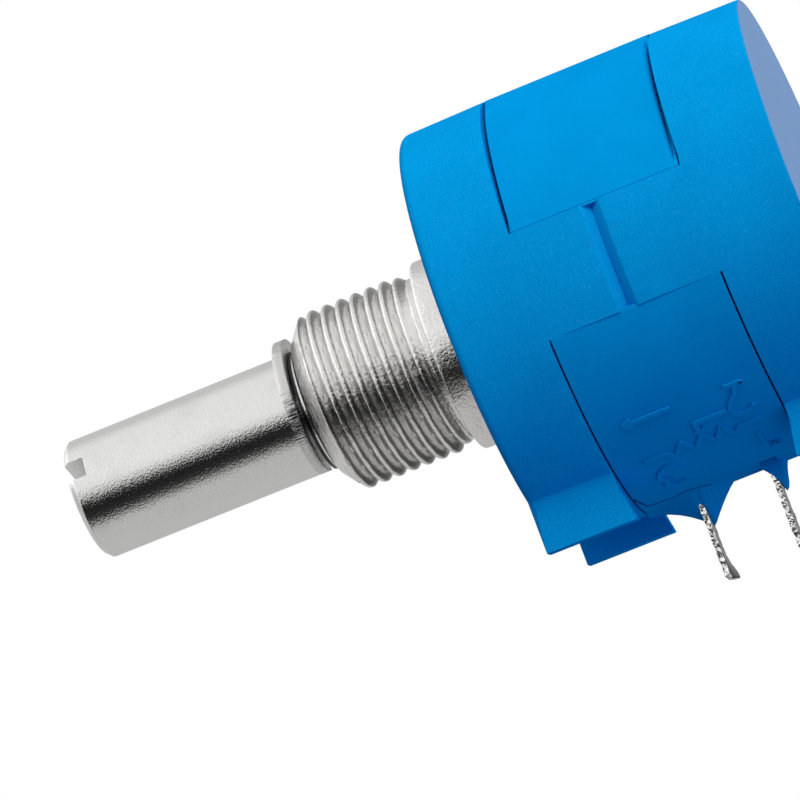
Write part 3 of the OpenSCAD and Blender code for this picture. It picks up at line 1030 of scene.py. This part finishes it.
@dataclass
class Rotor:
    """Shaft, clip, shim and seal, with the insulating rotor and its collector inside."""

    edge: float = 0.05
    shim_bore: float = 3.2
    shim_step: float = 0.5
    clip_lean: float = 0.035
    clip_shift: float = 0.1

    def build(self) -> List[Piece]:
        """Makes the turning pieces that need more than their CAD shape."""
        shaft = SHOP.softened("shaft", SHAFT_NICKEL, self.edge)
        clip = SHOP.softened("retaining_clip", CLIP_STEEL, self.edge * 0.8)
        for vertex in clip.data.vertices:
            vertex.co.y += self.clip_lean * vertex.co.z - self.clip_shift * MM
        clip.data.update()
        reach = span("shim_washer", 0)[1] - self.shim_step
        low, high = span("shim_washer", 1)
        outline = [
            (self.shim_bore, low), (reach - 0.04, low), (reach, low + 0.04), (reach, high),
            (self.shim_bore, high),
        ]
        shim = SHOP.shaded(SHOP.from_points("shim_dressed", *lathe(outline, 120), SHIM_STEEL))
        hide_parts("shim_washer")
        for node, finish in (
            ("shaft_seal", SEAL_RUBBER), ("rotor", ROTOR_CREAM),
            ("collector_strip", SPRING_BRASS), ("slip_ring", SPRING_BRASS),
            ("wiper_carriage", CARRIAGE_IVORY), ("wiper_contact", SPRING_BRASS),
        ):
            SHOP.dress(node, finish)
        return [shaft, clip, shim]


@dataclass
class Terminals:
    """Three solder blades with torn edges, their taps and the collector brush."""

    half_width: float = 0.68
    thickness: float = 0.28
    top: float = -8.6
    tip: float = -15.86
    step: float = 0.09
    tear: float = 0.1
    twist_from: float = -14.5
    twist_run: float = 1.3
    twist_deg: float = 13.0
    grain_scale: float = 3600.0
    shoulder: float = 0.3
    nodes: Tuple[str, ...] = ("terminal_1", "terminal_2", "terminal_3")

    def ring(self, z: float) -> List[Place]:
        """Points round the blade at one height, with its wire notches and cut corner.

        Args:
            z: The height in millimetres.

        Returns:
            For each point its x, its y from the blade's middle and its share of tearing.
        """
        up = z - self.tip
        low = self.half_width - float(np.interp(up, [0.65, 0.75, 0.85, 0.95], [0.0, 0.1, 0.1, 0.0]))
        high = low - float(np.interp(up, [0.0, 0.25], [0.3, 0.0]))
        t = self.thickness / 2.0
        across = np.linspace(-t, t, 5)
        along = np.linspace(high, -low, 9)[1:-1]
        points = [(high, y, 1.0) for y in across] + [(x, t, 0.0) for x in along]
        points += [(-low, y, 1.0) for y in across[::-1]] + [(x, -t, 0.0) for x in along[::-1]]
        return points

    def blade(self, node: str) -> Piece:
        """One blade, torn along its edges and turned a little at its tip.

        Args:
            node: The CAD node that it is shown instead of.

        Returns:
            The blade.
        """
        middle = sum(span(node, 1)) / 2.0
        points: List[Place] = []
        tearing: List[float] = []
        heights = np.linspace(self.top, self.tip, int((self.top - self.tip) / self.step) + 1)
        for z in heights:
            turn = math.radians(self.twist_deg) * min(1.0, max(0.0, (self.twist_from - z) / self.twist_run))
            for x, y, torn in self.ring(float(z)):
                away = self.half_width - x
                points.append((
                    self.half_width - away * math.cos(turn) + y * math.sin(turn),
                    middle + y * math.cos(turn) + away * math.sin(turn), float(z),
                ))
                tearing.append(torn)
        faces = skin(len(heights), len(self.ring(self.top)))
        obj = SHOP.from_points(node + "_dressed", points, faces, TINNED_BLADE)
        recipe = Recipe("torn_edge_" + node, {"Tear": self.tear * MM, "Grain": self.grain_scale})
        g = recipe.graph
        position = g.out("GeometryNodeInputPosition")
        x, y, z = g.parts(position)
        values = {"Vector": position, "Scale": recipe["Grain"], "Detail": 1.0, "Roughness": 0.6}
        px, py, pz = g.parts(g.out("ShaderNodeTexNoise", "Color", values=values))
        torn = g.share("tearing") * recipe["Tear"]
        inward = (x / (self.shoulder * MM)).least(1.0).most(-1.0) * torn * px.smooth(0.35, 0.65)
        shaped = g.moved(recipe["Geometry"], x - inward, y + torn * (py - 0.5), z + torn * (pz - 0.5))
        recipe.close(shaped, TINNED_BLADE)
        recipe.run(obj, {"tearing": tearing}).data.shade_flat()
        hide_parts(node)
        return obj

    def build(self) -> List[Piece]:
        """Makes the blades and dresses the inner contacts."""
        blades = [self.blade(node) for node in self.nodes]
        for node in ("front_tap", "rear_tap", "collector_brush"):
            SHOP.dress(node, SPRING_BRASS)
        SHOP.dress("thrust_washer", WASHER_WHITE)
        return blades


@dataclass
class Element:
    """The wound resistance helix inside the carrier."""

    turns: float = 11.0
    pitch: float = 1.08
    radius: float = 7.87
    wire: float = 0.38
    start_y: float = 16.66
    start_deg: float = 270.0
    steps_per_turn: int = 60
    crease_deg: float = 50.0

    def build(self) -> Piece:
        """Sweeps the mandrel along its helix."""
        mesh = bpy.data.meshes.new("wound_element")
        mesh.from_pydata([(0.0, 0.0, 0.0), (MM, 0.0, 0.0)], [(0, 1)], [])
        obj = SHOP.place("wound_element", mesh, ELEMENT_WIRE)
        recipe = Recipe(
            "wound_helix",
            {
                "Turns": self.turns, "Pitch": self.pitch * MM, "Helix Radius": self.radius * MM,
                "Mandrel Radius": self.wire * MM, "Start": self.start_y * MM,
                "Start Angle": math.radians(self.start_deg),
            },
        )
        g = recipe.graph
        count = int(self.turns * self.steps_per_turn) + 1
        line = g.out("GeometryNodeMeshToCurve", values={"Mesh": recipe["Geometry"]})
        line = g.out("GeometryNodeResampleCurve", values={"Curve": line, "Count": count})
        along = g.out("GeometryNodeSplineParameter", "Factor") * recipe["Turns"]
        angle = recipe["Start Angle"] - along * (2.0 * math.pi)
        radius, y = recipe["Helix Radius"], recipe["Start"] - along * recipe["Pitch"]
        helix = g.moved(line, radius * angle.cosine(), y, radius * angle.sine())
        values = {"Resolution": 12, "Radius": recipe["Mandrel Radius"]}
        section = g.out("GeometryNodeCurvePrimitiveCircle", 0, {"mode": "RADIUS"}, values)
        recipe.close(recipe.swept(helix, section), ELEMENT_WIRE)
        SHOP.creased(recipe.run(obj), self.crease_deg)
        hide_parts("resistance_element")
        return obj


# ---- the studio


@dataclass
class Studio:
    """Camera, floor, world and the soft key light."""

    azimuth: float = 99.623
    elevation: float = -8.347
    roll: float = 20.477
    distance: float = 291.36
    target: Place = (0.0, -3.148, -1.167)
    lens: float = 258.35
    floor_z: float = -62.0
    floor_half_m: float = 2.5
    key_size: float = 320.0
    key_watts: float = 1.5
    dim: float = 0.015
    ceiling: float = 0.885
    table: float = 0.525
    slant: float = 0.3
    level_y: float = 0.165
    back_dim: float = 0.265
    patch_dim: float = 0.62
    front_glow: float = 0.55
    end_dim: float = 0.4
    rear_dim: float = 0.9
    sky: float = 0.66
    fill: float = 0.33
    lean: float = 0.3
    sky_tint: Colour = (1.0, 1.0, 1.12)
    fill_tint: Colour = (1.0, 1.0, 1.28)
    key_tint: Colour = (1.0, 1.0, 0.6)
    key_place: Place = (265.0, 130.0, 330.0)

    def camera(self) -> None:
        """Sets the camera at its angle, distance and roll."""
        a, e, t = (math.radians(v) for v in (self.azimuth, self.elevation, self.roll))
        back = Vector((math.cos(e) * math.sin(a), -math.cos(e) * math.cos(a), math.sin(e)))
        right = (-back).cross(Vector((0.0, 0.0, 1.0))).normalized()
        up = right.cross(-back)
        side = right * math.cos(t) - up * math.sin(t)
        top = right * math.sin(t) + up * math.cos(t)
        data = bpy.data.cameras.new("camera")
        data.lens = self.lens
        data.sensor_width = 36.0
        data.clip_start = 0.01
        data.clip_end = 20.0
        camera = put("camera", data)
        place = (Vector(self.target) + back * self.distance) * MM
        axes = Matrix((side, top, back)).transposed().to_4x4()
        camera.matrix_world = Matrix.Translation(place) @ axes
        bpy.context.scene.camera = camera

    def floor(self) -> None:
        """A plain pale floor that fades to the backdrop's white at its edge."""
        mesh = bpy.data.meshes.new("floor")
        half, z = self.floor_half_m, self.floor_z * MM
        corners = [(-half, -half, z), (half, -half, z), (half, half, z), (-half, half, z)]
        mesh.from_pydata(corners, [], [(0, 1, 2, 3)])
        obj = put("floor", mesh)
        material = bpy.data.materials.new("pale_floor")
        material.use_nodes = True
        graph = Graph(material.node_tree)
        x, y, _ = graph.parts(graph.out("ShaderNodeTexCoord", "Object"))
        edge = ((x * x + y * y) ** 0.5).smooth(0.25, 0.9)
        card = graph.node("ShaderNodeBsdfDiffuse", values={"Color": (0.86, 0.86, 0.86, 1.0)})
        white = graph.node("ShaderNodeEmission", values={"Color": (1.0, 1.0, 1.0, 1.0), "Strength": 1.0})
        mixed = graph.node("ShaderNodeMixShader", values={0: edge, 1: card.outputs[0], 2: white.outputs[0]})
        graph.node("ShaderNodeOutputMaterial", values={"Surface": mixed.outputs[0]})
        mesh.materials.append(material)
        obj.visible_glossy = False
        obj.visible_diffuse = False

    def mirrored(self, x: Signal, y: Signal, z: Signal) -> Signal:
        """The level that metal mirrors in each direction.

        A bright ceiling that dims towards the back and the housing, the unlit room in
        front below the horizon, and the grey table under that.
        """
        sky = (z - self.slant * (y + self.level_y)).smooth(-0.12, 0.06)
        ahead, behind = 0.0 - y, 0.0 - x
        patch = (y - x).smooth(0.35, 0.7) * y.smooth(-0.1, 0.12) * z.smooth(0.18, 0.32)
        ceiling = (self.ceiling - self.back_dim * behind.smooth(0.1, 0.6)) * (1.0 - self.patch_dim * patch)
        ceiling = ceiling + self.front_glow * ahead.smooth(0.2, 0.6) * z.smooth(0.1, 0.5)
        ceiling = ceiling * (1.0 - self.end_dim * ahead.smooth(0.88, 0.97))
        table = (z + 0.72).smooth(0.0, -0.115).most((x - 0.3).smooth(0.0, -0.25))
        table = table * (1.0 - self.rear_dim * y.smooth(-0.12, 0.2))
        room = self.dim + 2.0 * self.dim * (z + 0.45).smooth(0.0, -0.27) + self.table * table
        return room * (1.0 - sky) + ceiling * sky

    def world(self) -> None:
        """White to the camera, a studio to mirrors, and soft light from above the back."""
        world = bpy.data.worlds.new("studio")
        bpy.context.scene.world = world
        world.use_nodes = True
        graph = Graph(world.node_tree)
        x, y, z = graph.parts(graph.out("ShaderNodeTexCoord", "Generated"))
        path = graph.node("ShaderNodeLightPath")
        straight, through, glossy = (
            Signal(graph, path.outputs[f"Is {ray} Ray"]) for ray in ("Camera", "Transmission", "Glossy")
        )
        seen = straight.most(through)
        above = z.smooth(-0.2, 0.2)
        soft = self.fill + (self.sky - self.fill) * above + self.lean * y
        tint = graph.blend(above, self.fill_tint, self.sky_tint)
        mirrored = self.mirrored(x, y, z)
        strength = (soft * (1.0 - glossy) + mirrored * glossy) * (1.0 - seen) + seen
        colour = graph.blend(seen.most(glossy), tint, (1.0, 1.0, 1.0))
        shade = graph.node("ShaderNodeBackground", values={"Color": colour, "Strength": strength})
        graph.node("ShaderNodeOutputWorld", values={"Surface": shade.outputs[0]})

    def key(self) -> None:
        """One large soft light above, which gives the floor its shadow."""
        data = bpy.data.lights.new("key", "AREA")
        data.shape = "DISK"
        data.size = self.key_size * MM
        data.energy = self.key_watts
        data.color = self.key_tint
        light = put("key", data)
        light.visible_glossy = False
        place = Vector(self.key_place) * MM
        aim = place.to_track_quat("Z", "Y").to_matrix().to_4x4()
        light.matrix_world = Matrix.Translation(place) @ aim

    def build(self) -> None:
        """Sets up the whole studio."""
        bpy.context.scene.view_settings.view_transform = "Standard"
        self.camera()
        self.floor()
        self.world()
        self.key()


def main() -> None:
    """Builds every sub-assembly in order and reports its pieces."""
    Studio().build()
    stages: List[Tuple[Body, Callable[[], object]]] = [
        (Body.HOUSING, Housing().build),
        (Body.HOUSING, Bushing().build),
        (Body.ROTOR, Rotor().build),
        (Body.HOUSING, Terminals().build),
        (Body.HOUSING, Element().build),
    ]
    for body, build in stages:
        made = build()
        for piece in made if isinstance(made, list) else [made]:
            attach(piece, body.value)
            log.info("%s rides on %s with %d faces", piece.name, body.value, len(piece.data.polygons))


if __name__ == "__main__":
    main()
